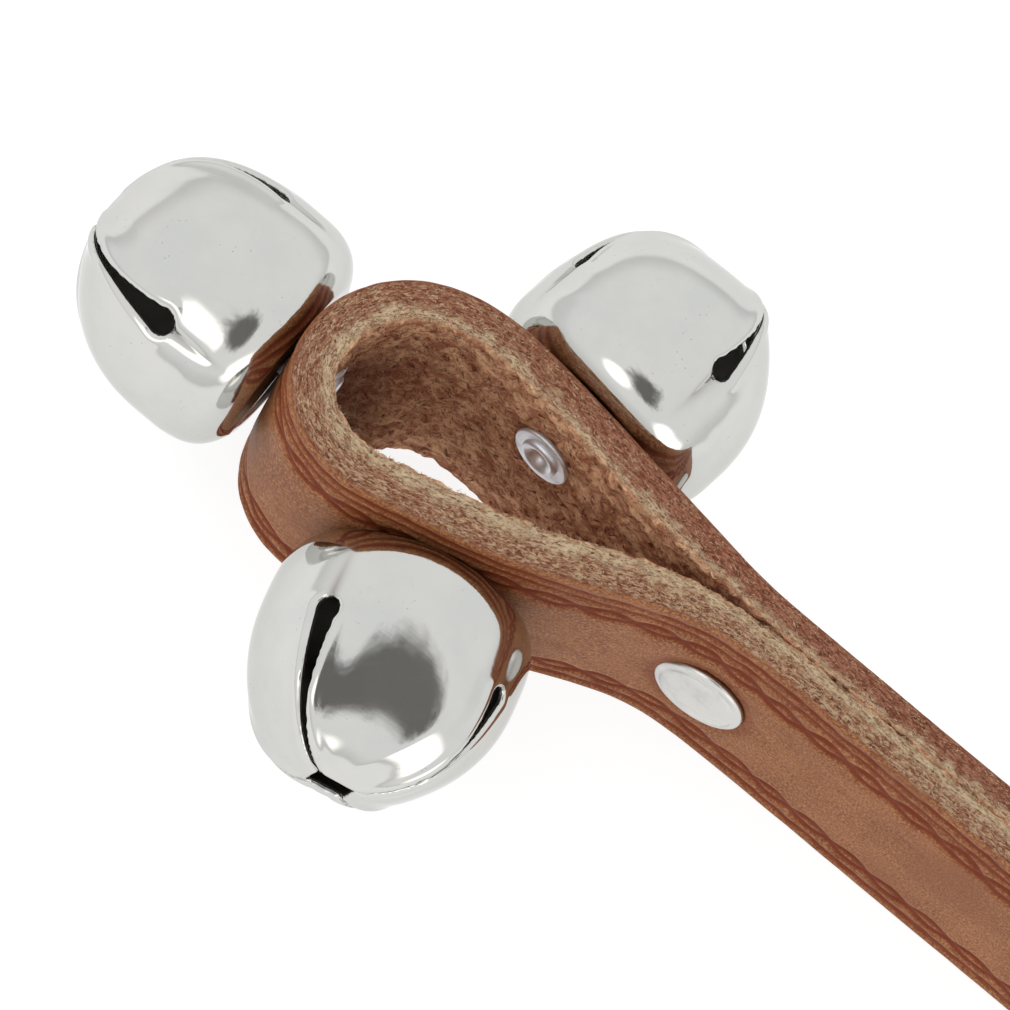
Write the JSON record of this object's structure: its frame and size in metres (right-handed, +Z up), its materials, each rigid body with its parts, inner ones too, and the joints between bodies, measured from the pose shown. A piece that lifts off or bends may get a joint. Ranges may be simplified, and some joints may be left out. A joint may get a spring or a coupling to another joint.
{
  "type": "hand sleigh bells",
  "caption": "Hand sleigh bells: folded leather strap with a loop at one end, round jingle bells with loose pellets riveted round the loop, and cap rivets closing the handle.",
  "frame": {"origin": "middle of the whole object's footprint, on the surface that it stands on", "axes": "+X along the handle away from the loop, +Z up across the strap's width, -Y on the side of the front bell"},
  "size_m": [0.194, 0.069, 0.0327],
  "materials": {
    "leather": "vegetable tanned, tooled border, raw edges",
    "bell_nickel": "bright nickel plate",
    "rivet_nickel": "nickel plate, lightly worn",
    "pellet_steel": "plain steel"
  },
  "bodies": {
    "strap_and_rivets": {"strap": "leather", "tip_bell_rivet": "rivet_nickel", "tip_bell_washer": "rivet_nickel", "back_bell_rivet": "rivet_nickel", "back_bell_washer": "rivet_nickel", "front_bell_rivet": "rivet_nickel", "front_bell_washer": "rivet_nickel", "loop_rivet_front_cap": "rivet_nickel", "loop_rivet_back_post": "rivet_nickel", "end_rivet_front_cap": "rivet_nickel", "end_rivet_back_post": "rivet_nickel"},
    "tip_bell": {"tip_bell_shell": "bell_nickel"},
    "tip_pellet": {"tip_bell_pellet": "pellet_steel"},
    "back_bell": {"back_bell_shell": "bell_nickel"},
    "back_pellet": {"back_bell_pellet": "pellet_steel"},
    "front_bell": {"front_bell_shell": "bell_nickel"},
    "front_pellet": {"front_bell_pellet": "pellet_steel"}
  },
  "joints": [
    {"name": "tip_bell_swivel", "type": "hinge", "parent": "strap_and_rivets", "child": "tip_bell", "pos_m": [-0.0819, -0.00232, 0.0161], "axis": [-1, -0.0031, 0], "continuous": true},
    {"name": "tip_pellet_rattle", "type": "slide", "parent": "tip_bell", "child": "tip_pellet", "axis": [0, 0, 1], "range_m": [0, 0.0174]},
    {"name": "back_bell_swivel", "type": "hinge", "parent": "strap_and_rivets", "child": "back_bell", "pos_m": [-0.04631, 0.01904, 0.0191], "axis": [0.134, 0.991, 0], "continuous": true},
    {"name": "back_pellet_rattle", "type": "slide", "parent": "back_bell", "child": "back_pellet", "axis": [0, 0, 1], "range_m": [0, 0.0174]},
    {"name": "front_bell_swivel", "type": "hinge", "parent": "strap_and_rivets", "child": "front_bell", "pos_m": [-0.04706, -0.01901, 0.015], "axis": [0.2556, -0.9668, 0], "continuous": true},
    {"name": "front_pellet_rattle", "type": "slide", "parent": "front_bell", "child": "front_pellet", "axis": [0, 0, 1], "range_m": [0, 0.0174]}
  ]
}
